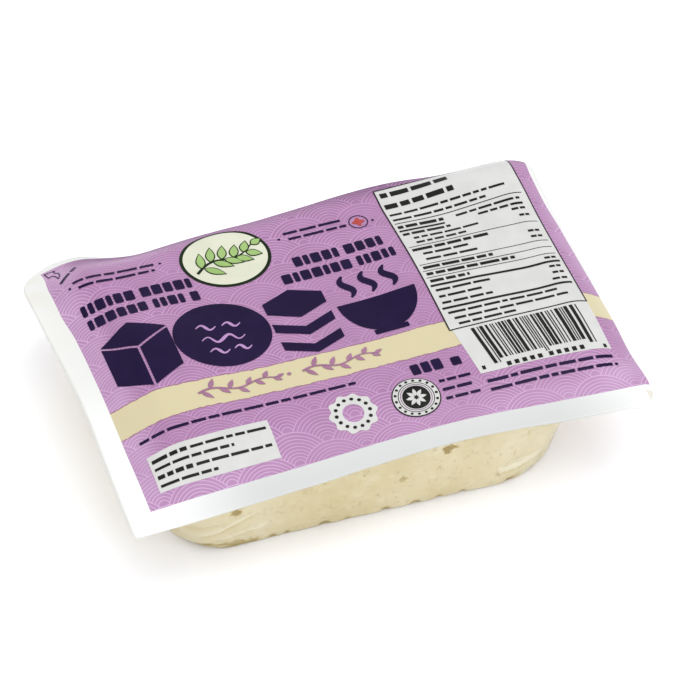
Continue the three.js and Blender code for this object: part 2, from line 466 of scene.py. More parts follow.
# noise masks: scale, detail, roughness, then the noise's low and high value and the strength there
lidNoises = {
    "linePatches": (45.0, 2.0, 0.5, 0.3, 0.7, 0.45, 0.9), "mottle": (140.0, 3.0, 0.5, 0.3, 0.7),
    "sheenClouds": (70.0, 2.0, 0.5, 0.25, 0.65, 0.35, 1.0), "foldPatches": (150.0, 2.0, 0.5, 0.35, 0.6, 0.0, 0.45),
}


def makeLidMaterial():
    look = lidLook
    tint = {name: tone(code) for name, code in look.items() if isinstance(code, str)}
    material, tree, shader = newMaterial("printedFilm")
    x, y = filmPlace(tree)
    place = dressFilmSkin(tree, shader, look["gloss"], look["glossSpread"], look["bump"])
    measures = {
        "x": x, "y": y,
        "fromLilacMiddle": mathNode(tree, "ABSOLUTE", minus(tree, x, look["lilacMiddle"])),
        "fromMarginMiddle": mathNode(tree, "ABSOLUTE", minus(tree, x, look["marginMiddle"])),
    }
    masks = {name: rampNode(tree, measures[measure], *ends) for name, (measure, *ends) in lidRamps.items()}
    masks |= {name: noiseMask(tree, place, *values) for name, values in lidNoises.items()}

    def both(a, b):
        return times(tree, masks[a], masks[b])

    mottled = mixColour(tree, masks["mottle"], tint["lilac"], tint["lilacDeep"])
    # the far edge rolls down: painted shade darkens it there, and it is less glossy, both less so at the far
    # left corner
    rolled = both("roll", "rollAlong")
    mottled = mixColour(tree, rolled, mottled, tint["lilacFarShade"])
    skinned = shader.inputs["Roughness"].links[0].from_socket
    tree.links.new(plus(tree, skinned, times(tree, rolled, look["rollDulls"])), shader.inputs["Roughness"])
    # painted sheen where the film bends down: along the left edge, the near strip and at the near right
    # corner
    paintedSheen = masks["leftSheen"]
    for other in (both("nearSheen", "nearSheenAlong"), both("cornerSheen", "cornerSheenAlong")):
        paintedSheen = mathNode(tree, "MAXIMUM", paintedSheen, other)
    mottled = mixColour(tree, times(tree, paintedSheen, masks["sheenClouds"]), mottled, tint["lilacSheen"])
    originX, originY = look["waveOrigin"]
    waves = placeGroup(tree, waveGroup, X=minus(tree, x, originX), Y=minus(tree, y, originY))["Lines"]
    # the lines are paler in the painted sheen too
    lines = mixColour(tree, paintedSheen, tint["lines"], tint["linesSheen"])
    printed = mixColour(tree, times(tree, waves, masks["linePatches"]), mottled, lines)
    # the cream band, with brushed edges and a thin darker rim
    brush = minus(tree, noiseNode(tree, place, *look["brush"]), 0.5)
    brushed = plus(tree, y, times(tree, brush, look["bandWander"]))
    left, right, near, far = look["field"]
    low, high = look["bandRange"]
    for name, extra in (("rim", look["bandRim"]), ("band", 0.0)):
        inside = placeGroup(tree, boxGroup, X=x, Y=brushed, Left=left - look["pastField"],
                            Right=right + look["pastField"], Near=low - extra, Far=high + extra,
                            Edge=look["printEdge"])["Inside"]
        printed = mixColour(tree, inside, printed, tint[name])
    bowed = plus(tree, x, times(tree, both("bowStart", "bowEnd"), look["leftBow"]))
    field = placeGroup(tree, boxGroup, X=bowed, Y=y, Left=left, Right=right, Near=near, Far=far,
                       Edge=look["printEdge"])["Inside"]
    # painted light: the margin is paler towards its near side and its ends, where more light falls on it, and
    # keeps its own tone in the middle
    margin = mixColour(tree, masks["marginEndsLit"], tint["margin"], tint["marginEndsLit"])
    margin = mixColour(tree, masks["marginNearLit"], margin, tint["marginNearLit"])
    margin = mixColour(tree, masks["marginInner"], margin, tint["margin"])
    # beige where the film is folded, at the far left corner and on a facet at the near right corner: partly
    # the translucent fold's own tone, partly painted shade
    folded = times(tree, both("fold", "foldAlong"), masks["foldPatches"])
    leaning = plus(tree, x, times(tree, y, look["facetLean"]))
    facet = placeGroup(tree, boxGroup, X=leaning, Y=y, **look["facet"])["Inside"]
    for mask in (folded, facet):
        margin = mixColour(tree, mask, margin, tint["beige"])
    tree.links.new(mixColour(tree, field, margin, printed), shader.inputs["Base Color"])
    setSockets(shader, Specular_IOR_Level=look["specular"])
    return material


flatLid = boxPlace(*(lidShape[k] for k in ("left", "right", "near", "far")),
                   [lidShape[k] for k in ("nearLeft", "nearRight", "farRight", "farLeft")])


def lidPlace(u, v):
    # the flat film's outline, with its left edge cut a little narrower
    x, y = flatLid(u, v)
    cut = lidShape["leftCut"]
    nearLeft = bell(y - cut["centre"], cut["spread"]) * smooth((cut["start"] - x) / cut["width"])
    return x + cut["depth"] * nearLeft, y


lidFilm = newGrid("LidFilm", lidLook["across"], lidLook["along"])
layOnFilm(lidFilm, lidPlace, 0.0)
thicken(lidFilm, lidLook["thickness"], -1)
finishPiece(lidFilm, makeLidMaterial(), "lid_film", "printed_lid")
print("lid film made")

# ---- print on the lid: simple shapes in the print's colours

printLook = {
    "panelLift": 0.07, "inkLift": 0.15, "topLift": 0.23, "lastLift": 0.29,   # above the film
    "step": 1.0,                                                             # size of a face
    "gloss": 0.3, "glossSpread": 0.12, "bump": 0.5, "specular": 0.1, "patches": (160.0, 3.0, 0.5, 0.3, 0.7),
}


def discPlace(cx, cy, rx, ry):
    def place(u, v):
        return cx + rx * u * math.sqrt(1 - v * v / 2), cy + ry * v * math.sqrt(1 - u * u / 2)
    return place


def quadPlace(a, b, c, d):
    # four corners, anticlockwise from the near left one
    def place(u, v):
        s, t = (u + 1) / 2, (v + 1) / 2
        return tuple(mix(mix(a[i], b[i], s), mix(d[i], c[i], s), t) for i in (0, 1))
    return place


def strokePlace(path, width):
    # a stroke of changing width along a path, both functions of a share from 0 to 1
    def place(u, v):
        t = (u + 1) / 2
        x, y = path(t)
        ax, ay = path(max(0, t - 0.004))
        bx, by = path(min(1, t + 0.004))
        length = math.hypot(bx - ax, by - ay)
        half = v * width(t) / 2
        return x - (by - ay) / length * half, y + (bx - ax) / length * half
    return place


def ringPlace(cx, cy, inner, outer, petals=0, depth=0.0):
    # a ring whose outer edge may swell into petals
    def place(u, v):
        angle = math.pi * u
        edge = outer * (1 + depth * math.cos(petals * angle))
        r = mix(edge, inner, (v + 1) / 2)
        return cx + r * math.cos(angle), cy + r * math.sin(angle)
    return place


def direction(turn):
    return math.cos(math.radians(turn)), math.sin(math.radians(turn))


def leafPlace(x, y, length, width, turn):
    # a pointed leaf that starts at x, y
    c, s = direction(turn)

    def place(u, v):
        t = (u + 1) / 2
        across = v * width / 2 * math.sin(math.pi * t ** 0.8)
        return x + t * length * c - across * s, y + t * length * s + across * c
    return place


def steps(size):
    return max(1, round(size / printLook["step"]))


def patch(place, across, along, lift):
    piece = newGrid("patch", across, along)
    layOnFilm(piece, place, lift)
    return piece


def box(left, right, near, far, lift):
    return patch(boxPlace(left, right, near, far), steps(right - left), steps(far - near), lift)


def disc(cx, cy, rx, ry, lift):
    return patch(discPlace(cx, cy, rx, ry), max(8, steps(2 * rx)), max(8, steps(2 * ry)), lift)


def stroke(path, width, count, lift):
    return patch(strokePlace(path, width), count, 2, lift)


def comb(place, marks, length, along, lift):
    # a row of separate marks: each has its start and end along the row in millimetres, and its foot
    # and head from 0 to 1
    edges = []
    for start, end, foot, head in marks:
        count = steps(end - start)
        edges += [(mix(start, end, i / count) / length, foot, head, i < count) for i in range(count + 1)]
    count = len(edges) - 1
    piece = newGrid("comb", count, along)
    for vertex in piece.data.vertices:
        at, foot, head = edges[round((vertex.co.x + 1) / 2 * count)][:3]
        vertex.co.x = at * 2 - 1
        vertex.co.y = mix(foot, head, (vertex.co.y + 1) / 2) * 2 - 1
    layOnFilm(piece, place, lift)
    selectOnly(piece)
    bpy.ops.object.mode_set(mode="EDIT")
    bpy.ops.mesh.select_mode(type="FACE")
    bpy.ops.mesh.select_all(action="DESELECT")
    bpy.ops.object.mode_set(mode="OBJECT")
    for face in piece.data.polygons:
        face.select = not edges[face.index % count][3]
    bpy.ops.object.mode_set(mode="EDIT")
    bpy.ops.mesh.delete(type="FACE")
    bpy.ops.object.mode_set(mode="OBJECT")
    return piece


def wordMarks(length, space, seed):
    # marks of mixed lengths along a row
    if length < 6:
        return [(0, length * 0.5, 0, 1), (length * 0.62, length, 0, 1)]
    draw = random.Random(seed)
    marks = []
    at = 0.0
    while at < length - space:
        end = min(length, at + space * draw.uniform(2.2, 8.5))
        marks.append((at, end, 0, 1))
        at = end + space
    return marks


def smallRow(left, right, middle, height, space, lift):
    # a row of plain dashes in the place of small print
    marks = wordMarks(right - left, space, round(left * 7 + middle * 13 + height * 5))
    place = boxPlace(left, right, middle - height / 2, middle + height / 2)
    return comb(place, marks, right - left, steps(height), lift)


def headingRow(left, right, middle, height, lift):
    # a row of rounded blocks
    draw = random.Random(round(left * 3 + middle * 11))
    parts = []
    at = left
    while at < right - 1.4:
        for _ in range(draw.randint(4, 9)):
            wide = min(draw.choice((1.6, 2.5, 2.8)), right - at)
            if wide < 1.2:
                break
            place = boxPlace(at, at + wide, middle - height / 2, middle + height / 2, [0.45] * 4)
            parts.append(patch(place, 6, 6, lift))
            at += wide + 0.6
        at += 1.3
    return parts


# dark violet: four large shapes, heading rows and small rows
headings = [
    (-65.2, -32.5, 28.2, 4.0), (-65.0, -30.5, 22.5, 3.9), (-2.3, 25.9, 27.2, 4.0), (-7.6, 26.0, 21.3, 3.9),
    (13.6, 23.4, -25.9, 4.2), (25.2, 28.6, -26.4, 3.2),
]
violetRows = [
    (-64.3, -40.0, 38.9, 0.9, 0.8), (-63.3, -40.5, 36.3, 0.9, 0.8), (-1.2, 17.2, 39.3, 0.9, 0.8),
    (-0.4, 17.0, 36.8, 0.9, 0.8), (-65.5, -2.5, -25.2, 1.0, 0.8), (19.4, 29.3, -32.4, 0.95, 0.7),
    (19.4, 28.8, -35.4, 0.95, 0.7), (19.4, 29.4, -38.4, 0.95, 0.7), (32.3, 70.0, -36.2, 1.0, 0.8),
    (32.3, 70.0, -39.1, 1.0, 0.8),
]


def violetParts(lift):
    cx, right, top = -55.0, 9.9, 17.4
    sky, waist, ground = 12.3, 7.2, -8.6
    gap = 0.75
    parts = [
        # a block seen from a corner
        patch(quadPlace((cx, waist), (cx + right, sky), (cx, top), (cx - right, sky)), 14, 14, lift),
        patch(quadPlace((cx - right, ground + 5.2), (cx - gap / 2, ground), (cx - gap / 2, waist - gap),
                        (cx - right, sky - gap)), 10, 16, lift),
        patch(quadPlace((cx + gap / 2, ground), (cx + right, ground + 5.2), (cx + right, sky - gap),
                        (cx + gap / 2, waist - gap)), 10, 16, lift),
        disc(-31.0, 5.0, 14.0, 12.9, lift),
        # a bowl on its foot
        patch(bowlPlace(14.6, 11.5, 5.8, 13.6), 24, 14, lift),
        box(9.6, 19.6, -8.8, -7.0, lift),
    ]
    # three slices, one on another
    parts += [patch(slicePlace(i), 24, 8, lift) for i in range(3)]
    for x in (8.4, 14.6, 20.8):
        parts.append(stroke(steamPath(x), lambda t: 2.3 * (1 - 0.75 * abs(2 * t - 1) ** 2), 20, lift))
    for row in headings:
        parts += headingRow(*row, lift)
    for row in violetRows:
        parts.append(smallRow(*row, lift))
    parts.append(comb(quadPlace((-66.7, 41.6), (-60.4, 47.0), (-61.0, 47.7), (-67.3, 42.3)),
                      wordMarks(8.3, 0.8, 5), 8.3, 1, lift))
    parts.append(patch(ringPlace(*flower, 2.55, 2.85), 40, 1, lift))
    for x, y in ((-65.6, 37.6), (-38.2, 38.8), (-3.0, 37.6), (24.9, 36.6)):
        parts.append(disc(x, y, 0.4, 0.4, lift))
    parts.append(stroke(arrowPath, lambda t: 0.32, 90, lift))
    return parts


slices = {"x": -7.6, "halfWidth": 8.8, "top": 17.2, "step": 7.6, "slope": 3.6, "front": 3.6, "gap": 0.9}


def slicePlace(index):
    # a slab seen from a corner, of which only the front shows where another lies on it
    top = slices["top"] - slices["step"] * index

    def place(u, v):
        edge = top - slices["slope"] - slices["slope"] * (1 - abs(u)) - slices["gap"]
        back = edge if index else top - slices["slope"] * abs(u)
        return slices["x"] + slices["halfWidth"] * u, mix(edge - slices["front"], back, (v + 1) / 2)
    return place


def bowlPlace(cx, halfWidth, top, depth):
    def place(u, v):
        t = (1 - v) / 2 * 0.94
        return cx + halfWidth * u * math.sqrt(1 - t * t), top - depth * t
    return place


def steamPath(x):
    return lambda t: (x + 1.3 * math.sin(t * 2 * math.pi), mix(8.0, 17.0, t))


arrowCorners = [(-69.0, 51.6), (-66.0, 50.7), (-66.6, 49.9), (-65.6, 48.3), (-65.7, 46.6), (-66.6, 45.2),
                (-66.7, 46.6), (-67.1, 47.9), (-67.6, 48.6), (-68.6, 48.2), (-69.0, 51.6)]


def arrowPath(t):
    at = min(t * (len(arrowCorners) - 1), len(arrowCorners) - 1.001)
    i = int(at)
    (ax, ay), (bx, by) = arrowCorners[i], arrowCorners[i + 1]
    return mix(ax, bx, at - i), mix(ay, by, at - i)


# white panels: facts, bars, contents, and the rosette in the place of a seal
factsCorners = [(29.2, -14.6), (70.3, -14.6), (70.3, 49.9), (29.2, 47.9)]
rosette = (-6.9, -35.6)


def panelParts(lift):
    return [
        patch(quadPlace(*factsCorners), 41, 64, lift),
        patch(quadPlace((31.4, -33.3), (70.3, -33.5), (70.3, -14.6), (29.9, -14.6)), 40, 19, lift),
        box(-65.4, -30.4, -43.4, -31.0, lift),
        patch(ringPlace(*rosette, 3.0, 6.6, 10, 0.07), 80, 5, lift),
    ]


# black: borders, rules, bars and small rows on the panels
rules = [
    (30.2, 68.8, 32.4, 0.3), (30.2, 44.0, 28.6, 0.75), (30.2, 69.2, 20.6, 0.22), (30.2, 69.2, 12.3, 0.22),
    (30.2, 69.2, 9.5, 0.22), (30.2, 69.2, 6.6, 0.22), (30.2, 69.2, 3.2, 0.8), (30.2, 69.2, -6.2, 0.8),
]
boldRows = [
    (30.4, 52.5, 45.4, 1.9, 0.9), (30.2, 51.0, 40.7, 2.0, 0.9), (30.4, 44.2, 30.5, 1.3, 0.7),
    (30.6, 45.0, 26.8, 1.05, 0.7), (30.6, 54.8, 19.1, 1.1, 0.7), (30.8, 51.8, 10.9, 1.1, 0.7),
    (30.8, 57.4, 8.1, 1.1, 0.7), (30.8, 42.6, 5.1, 1.1, 0.7), (-64.6, -54.4, -33.5, 1.25, 0.7),
    (-64.6, -54.4, -38.9, 1.25, 0.7),
]
fineHeight = 0.85
fineRows = [
    (30.2, 66.0, 36.7), (30.3, 58.5, 34.2), (48.0, 67.4, 30.4), (54.0, 67.6, 28.3), (33.0, 52.8, 24.4),
    (33.0, 48.0, 22.2), (33.0, 47.2, 16.8), (33.0, 49.8, 14.3), (31.0, 47.2, 1.2), (31.0, 44.0, -1.4),
    (31.0, 46.4, -4.0), (31.2, 63.8, -8.2), (32.2, 66.2, -10.6), (32.6, 50.4, -12.9), (63.5, 67.6, 26.4),
    (64.8, 67.8, 23.6), (64.8, 68.2, 16.8), (64.8, 68.2, 14.4), (65.2, 68.6, 5.0), (65.2, 68.6, 1.2),
    (65.2, 68.6, -1.4), (64.2, 68.6, -4.0), (-53.4, -31.6, -33.5), (-64.6, -41.6, -36.2),
    (-53.4, -31.6, -38.9), (-64.6, -48.0, -41.6),
]

# ten plain blocks under the bars, in two groups
blockMarks = [(2.3 * i + (i > 4), 2.3 * i + 1.3 + (i > 4), 0, 1) for i in range(10)]


def linePath(ax, ay, bx, by):
    return lambda t: (mix(ax, bx, t), mix(ay, by, t))


def barMarks(length, count):
    # plain bars of mixed widths that spell nothing
    draw = random.Random(41)
    edges = [0]
    while len(edges) < count * 2:
        edges.append(edges[-1] + draw.choice((1, 1, 2, 3) if len(edges) % 2 else (1, 1, 2, 2)))
    scale = length / edges[-1]
    guards = (0, 1, count // 2, count // 2 + 1, count - 2, count - 1)
    return [(edges[2 * i] * scale, edges[2 * i + 1] * scale, 0.0 if i in guards else 0.1, 1.0)
            for i in range(count)]


def dots(cx, cy, radius, count, size, lift):
    # a ring of round dots
    turns = [2 * math.pi * i / count for i in range(count)]
    return [disc(cx + radius * math.cos(t), cy + radius * math.sin(t), size, size, lift) for t in turns]


seal = {"x": 11.5, "y": -35.7, "rim": 6.9, "inner": 4.9, "middle": 3.95}


def blackParts(lift):
    parts = [box(left, right, middle - size / 2, middle + size / 2, lift)
             for left, right, middle, size in rules]
    for row in boldRows:
        parts.append(smallRow(*row, lift))
    for left, right, middle in fineRows:
        parts.append(smallRow(left, right, middle, fineHeight, 0.7, lift))
    for (ax, ay), (bx, by) in zip(factsCorners, factsCorners[1:] + factsCorners[:1]):
        length = math.hypot(bx - ax, by - ay)
        parts.append(stroke(linePath(ax, ay, bx, by), lambda t: 0.4, steps(length), lift))
    x, y = seal["x"], seal["y"]
    parts += [
        comb(quadPlace((36.4, -31.0), (66.9, -31.0), (66.3, -15.8), (34.9, -15.8)), barMarks(31, 30),
             31, 14, lift),
        patch(ringPlace(x, y, seal["inner"], seal["rim"]), 60, 3, lift),
        disc(x, y, seal["middle"], seal["middle"], lift),
        comb(boxPlace(39.6, 63.6, -32.9, -31.4), blockMarks, 24, 2, lift),
        box(32.5, 33.5, -32.2, -30.8, lift), box(68.3, 69.2, -33.1, -31.8, lift),
    ]
    return parts + dots(*rosette, 4.85, 14, 0.55, lift)


# white marks on the round seal: two thin rings, a ring of dots and a daisy
def sealMarks(lift):
    x, y = seal["x"], seal["y"]
    parts = [
        patch(ringPlace(x, y, seal["middle"], seal["middle"] + 0.3), 60, 1, lift),
        patch(ringPlace(x, y, seal["inner"] - 0.4, seal["inner"]), 60, 1, lift),
        patch(ringPlace(x, y, seal["inner"] + 0.25, seal["rim"] - 0.35), 60, 2, lift),
    ]
    for angle in range(0, 360, 45):
        c, s = direction(angle)
        parts.append(patch(leafPlace(x + 0.5 * c, y + 0.5 * s, 2.5, 1.1, angle), 8, 4, lift))
    return parts


def sealDots(lift):
    return dots(seal["x"], seal["y"], 5.85, 18, 0.42, lift)


def wavePath(left, right, middle, size, turns, lean=0.0):
    # a wavy line, whose waves may lean over
    def path(t):
        y = size * math.sin(t * turns * 2 * math.pi)
        return mix(left, right, t) + lean * y, middle + y
    return path


# pale brush strokes on the dark disc
def discStrokes(lift):
    parts = []
    for left, right, middle, size, turns in ((-37.6, -31.8, 8.8, 1.1, 1.0), (-30.0, -24.6, 8.6, 1.0, 1.0),
                                             (-37.4, -24.8, 3.6, 1.2, 2.0), (-36.6, -30.8, -1.2, 1.1, 1.0),
                                             (-29.4, -24.4, -1.2, 1.0, 1.0)):
        parts.append(stroke(wavePath(left, right, middle, size, turns, 0.3),
                            lambda t: 0.3 + 0.75 * (1 - abs(2 * t - 1)), 30, lift))
    return parts


# two flowing sprigs on the cream band, with leaves on both sides
def bandStrokes(lift):
    parts = []
    for left, right in ((-45.0, -22.2), (-14.6, 6.6)):
        stem = wavePath(left, right, -15.7, 0.9, 1.5)
        parts.append(stroke(stem, lambda t: 0.45 + 0.3 * (1 - t), 60, lift))
        for i in range(9):
            t = 0.04 + 0.115 * i
            x, y = stem(t)
            length = 4.4 - 1.6 * t
            turn = 62 - 12 * t if i % 2 else -50 + 10 * t
            parts.append(patch(leafPlace(x, y, length, 1.5, turn), 12, 4, lift))
        x, y = stem(1.0)
        parts.append(patch(leafPlace(x, y, 2.6, 1.2, 20), 12, 4, lift))
    parts.append(disc(-18.5, -15.5, 0.6, 0.6, lift))
    return parts


# badge: dark rim, pale field, a dark stem and green leaves
badge = {"x": -19.9, "y": 35.2, "halfWidth": 13.2, "halfHeight": 11.9, "border": 1.0}


def badgeStem(t):
    return mix(-29.5, -11.0, t), mix(31.0, 38.6, t) + 1.6 * math.sin(math.pi * 2 * t)


def badgeDisc(lift, border=0.0):
    return [disc(badge["x"], badge["y"], badge["halfWidth"] - border, badge["halfHeight"] - border, lift)]


def badgeLeaves():
    # each leaf's foot on the stem, its length and its turn
    leaves = []
    for t in (0.1, 0.28, 0.46, 0.64, 0.82):
        x, y = badgeStem(t)
        leaves.append((x, y, 6.6 - 2.4 * t, 82 - 20 * t))
        leaves.append((x + 0.6, y, 6.6 - 2.4 * t, -38 + 16 * t))
    leaves.append((*badgeStem(0.98), 3.6, 24))
    return leaves


def leafParts(lift, inset, longer, width):
    parts = []
    for x, y, length, turn in badgeLeaves():
        c, s = direction(turn)
        place = leafPlace(x + inset * c, y + inset * s, length + longer, width, turn)
        parts.append(patch(place, 14, 6, lift))
    return parts


def stemParts(lift):
    return [stroke(badgeStem, lambda t: 0.9 - 0.5 * t, 40, lift)] + leafParts(lift, 0.0, 0.5, 2.9)


# a small four-petalled flower in a ring
flower = (20.8, 37.2)


def flowerParts(lift):
    return [patch(ringPlace(*flower, 0.0, 1.45, 4, 0.3), 40, 3, lift)]


# each ink's colour, and the deeper one in its patches
inks = {
    "violetInk": ("1b0b36", "150730"), "greenInk": ("15260f", "101e0b"), "blackInk": ("1d1d1b", "161615"),
    "panelInk": ("cccccb", "c6c6c4"), "sealInk": ("c8c8c6", "c2c2c0"), "fieldInk": ("d2d4c2", "cccebb"),
    "leafInk": ("98b672", "8fae69"), "pinkInk": ("a07490", "966b86"), "paleInk": ("b18bbb", "a882b2"),
    "redInk": ("b04a44", "a8423c"),
}


def makeInkMaterial(name, code, deeper):
    look = printLook
    material, tree, shader = newMaterial(name)
    place = dressFilmSkin(tree, shader, look["gloss"], look["glossSpread"], look["bump"])
    patchy = noiseMask(tree, place, *look["patches"])
    tree.links.new(mixColour(tree, patchy, tone(code), tone(deeper)), shader.inputs["Base Color"])
    setSockets(shader, Specular_IOR_Level=look["specular"])
    return material


# the pieces of the print: name, parts, height over the film, ink
printPieces = [
    ("WhitePanels", panelParts, "panelLift", "panelInk"),
    ("VioletPrint", violetParts, "inkLift", "violetInk"),
    ("BlackPrint", blackParts, "inkLift", "blackInk"),
    ("SealMarks", sealMarks, "topLift", "sealInk"),
    ("SealDots", sealDots, "lastLift", "blackInk"),
    ("BadgeDark", badgeDisc, "panelLift", "greenInk"),
    ("BadgeField", lambda lift: badgeDisc(lift, badge["border"]), "inkLift", "fieldInk"),
    ("BadgeStem", stemParts, "topLift", "greenInk"),
    ("BadgeLeaves", lambda lift: leafParts(lift, 0.4, -0.4, 2.2), "lastLift", "leafInk"),
    ("BandStrokes", bandStrokes, "inkLift", "pinkInk"),
    ("LightStrokes", discStrokes, "topLift", "paleInk"),
    ("RedMark", flowerParts, "inkLift", "redInk"),
]
inkMaterials = {name: makeInkMaterial(name, *codes) for name, codes in inks.items()}
for name, makeParts, lift, ink in printPieces:
    finishPiece(joinPieces(name, makeParts(printLook[lift])), inkMaterials[ink], "lid_film")
print("print made")

# ---- tofu block

blockLook = {
    "near": 280, "far": 50, "end": 50, "corner": 22, "rows": 72, "edgeRows": 16,
    "gap": 0.12, "underLid": 0.35, "topShares": (0.97, 0.9, 0.75, 0.55, 0.35, 0.15, 0.0),
    "lean": 1.2, "leanReach": 40, "cornerPull": {"start": 32, "end": 46, "depth": 2.3},
    "wallReach": {"far": -30, "farBlend": 10, "low": -0.3, "lowBlend": 1.0, "high": 28, "highBlend": 2},
    "broad": (45.0, 3.0, 0.5, 0.3, 0.7), "blotches": (230.0, 4.0, 0.6, 0.45, 0.75, 0.0, 0.4),
    "pores": (900.0, 3.0, 0.6, 0.6, 0.72, 0.0, 0.42), "poreDepth": 0.8,
    "grain": (520.0, 4.0, 0.6), "grainDepth": 0.5, "lumps": (130.0, 2.0),
    "roughness": 0.42, "coat": 0.35, "coatRoughness": 0.15, "bump": 0.8, "bumpDepth": 0.0006,
    "curd": "dacca0", "curdDeep": "d0c08a", "curdPale": "ebe2c4", "whey": "9d8208",
}
# on the near wall: place along, height, half width, half height, depth, stain
wallMarks = [
    (-43.9, 14.3, 1.35, 1.0, 0.25, 1.5), (-42.3, 15.9, 0.8, 0.35, 0.1, 0.6),
    (-34.1, 17.2, 0.5, 0.35, 0.2, 0.7), (-34.0, 17.7, 0.3, 0.3, 0.1, 0.5), (17.7, 21.2, 1.6, 0.8, 0.4, 1.4),
    (17.0, 19.7, 0.7, 1.0, 0.3, 1.2), (4.4, 12.4, 1.0, 0.9, 0.25, 0.6), (-7.3, 17.5, 0.5, 0.35, 0.1, 0.5),
    (36.5, 14.6, 0.35, 0.7, 0.2, 0.5), (37.4, 12.2, 0.3, 1.1, 0.25, 0.4), (41.6, 17.5, 0.3, 0.55, 0.2, 0.6),
    (-25.1, 9.2, 0.45, 0.45, 0.15, 0.6), (-36.0, 11.4, 0.3, 0.25, 0.1, 0.5),
    (-28.4, 17.4, 0.5, 0.25, 0.15, 0.45), (-24.2, 16.4, 0.3, 0.8, 0.15, 0.4),
    (23.4, 15.6, 0.3, 0.6, 0.15, 0.5), (24.3, 16.6, 0.3, 0.4, 0.15, 0.4), (14.9, 13.6, 0.5, 0.3, 0.2, 0.5),
    (14.2, 13.0, 0.3, 0.4, 0.15, 0.4), (30.4, 9.6, 0.3, 0.4, 0.1, 0.35), (-0.4, 19.6, 0.5, 0.3, 0.15, 0.35),
    (8.4, 19.8, 0.6, 0.35, 0.15, 0.35), (-48.2, 12.4, 0.3, 0.35, 0.1, 0.45),
    (-56.0, 14.3, 0.35, 0.25, 0.1, 0.5), (-40.2, 5.6, 0.4, 0.25, 0.1, 0.4),
    (48.4, 17.0, 0.6, 0.5, 0.15, 0.45), (49.8, 16.4, 0.3, 0.3, 0.1, 0.5), (-31.0, 12.8, 0.5, 0.2, 0.1, 0.4),
    (-30.0, 13.2, 0.4, 0.2, 0.1, 0.35), (-27.8, 14.2, 0.4, 0.2, 0.1, 0.35), (2.6, 5.2, 0.3, 0.6, 0.1, 0.4),
    (-0.6, 4.6, 0.4, 0.3, 0.1, 0.4), (20.0, 12.0, 0.3, 0.25, 0.1, 0.3), (37.0, 1.6, 1.6, 0.5, 0.2, 0.5),
    (47.0, 4.2, 0.9, 0.5, 0.2, 0.7), (50.4, 6.4, 0.6, 0.4, 0.2, 0.7), (37.5, 6.0, 2.4, 1.0, -0.2, -0.8),
    (43.0, 7.0, 2.6, 0.8, -0.2, -0.7), (33.4, 6.6, 0.9, 1.0, -0.2, -0.5),
]
# unevenness all over the wall: size along and up, seed, height
wallRipples = [(9, 7, 1.3, 0.28), (2.6, 2.2, 4.2, 0.12), (0.9, 0.9, 2.6, 0.05)]
# folds along the bottom edge: place along, half width, depth
edgeFolds = [
    (-33.1, 0.8, 0.35), (-29.0, 0.7, 0.3), (-18.1, 1.0, 0.6), (-11.5, 0.8, 0.2), (-0.2, 0.8, 0.5),
    (8.4, 0.9, 0.5), (15.4, 0.7, 0.35), (22.3, 0.8, 0.35), (36.0, 1.2, 0.3), (43.0, 0.8, 0.3),
]
# creases on the near wall: from and to in the same way, half width, height
wallCreases = [
    (-55.0, 6.2, -38.9, 13.0, 0.45, 0.5), (-53.5, 5.2, -38.0, 11.6, 0.35, -0.4),
    (-58.0, 8.5, -47.0, 11.0, 0.4, -0.35), (-49.0, 4.0, -34.0, 7.6, 0.6, 0.45),
    (-50.0, 3.2, -40.0, 5.4, 0.35, -0.35), (32.6, 5.7, 36.0, 8.4, 0.3, 0.6),
    (36.0, 8.4, 45.4, 8.0, 0.25, 0.5), (32.6, 5.0, 42.0, 4.6, 0.35, -0.45), (33.0, 6.4, 31.6, 4.6, 0.3, -0.4),
    (-30.0, 14.0, -22.0, 19.0, 0.6, -0.15), (-12.0, 4.5, -4.0, 9.0, 0.7, 0.15),
    (-2.0, 6.0, 5.0, 10.0, 0.8, -0.12), (-2.5, 3.5, 4.0, 7.0, 0.4, 0.2),
]


# how far each thing darkens the curd with stains or painted shade, or makes it paler, and where it fades:
# from, over what length
stainAndShadeLook = {
    "creaseShading": 0.9,
    "ends": {"strength": 0.38, "from": 18, "over": 22},
    "edgeFolds": {"strength": 3.2, "from": 2.4, "over": 1.0},
    "bottomLine": {"strength": 0.4, "uneven": 0.6, "from": 1.2, "over": 0.7},
    "filmFold": {"uneven": 0.6, "from": 2.6, "over": 0.6, "right": -36.5, "rightOver": 1.5},
}


def shifted(x, z, size, amount):
    # a place on the wall, moved a little, so that marks have uneven edges
    return x + amount * waver(x, z, size, size, 8.1), z + amount * waver(x, z, size, size, 15.7)


def wallSpots(x, z):
    # each mark's strength at this place
    wx, wz = shifted(x, z, 0.9, 0.8)
    for mx, mz, wide, high, depth, stainAndShade in wallMarks:
        if abs(wx - mx) < 2 * wide and abs(wz - mz) < 2 * high:
            yield smooth((1.7 - math.hypot((wx - mx) / wide, (wz - mz) / high)) / 0.9), depth, stainAndShade


def wallFolds(x, z):
    # each crease's strength at this place
    for ax, az, bx, bz, wide, height in wallCreases:
        length = (bx - ax) ** 2 + (bz - az) ** 2
        t = min(1, max(0, ((x - ax) * (bx - ax) + (z - az) * (bz - az)) / length))
        away = math.hypot(x - mix(ax, bx, t), z - mix(az, bz, t))
        if away < 4 * wide:
            yield height * bell(away, wide) * min(1, 4 * t * (1 - t) + 0.35)


def edgeFold(x, z):
    return sum(depth * bell(x - fx, wide) * smooth((3.2 - z) / 2.4) for fx, wide, depth in edgeFolds)


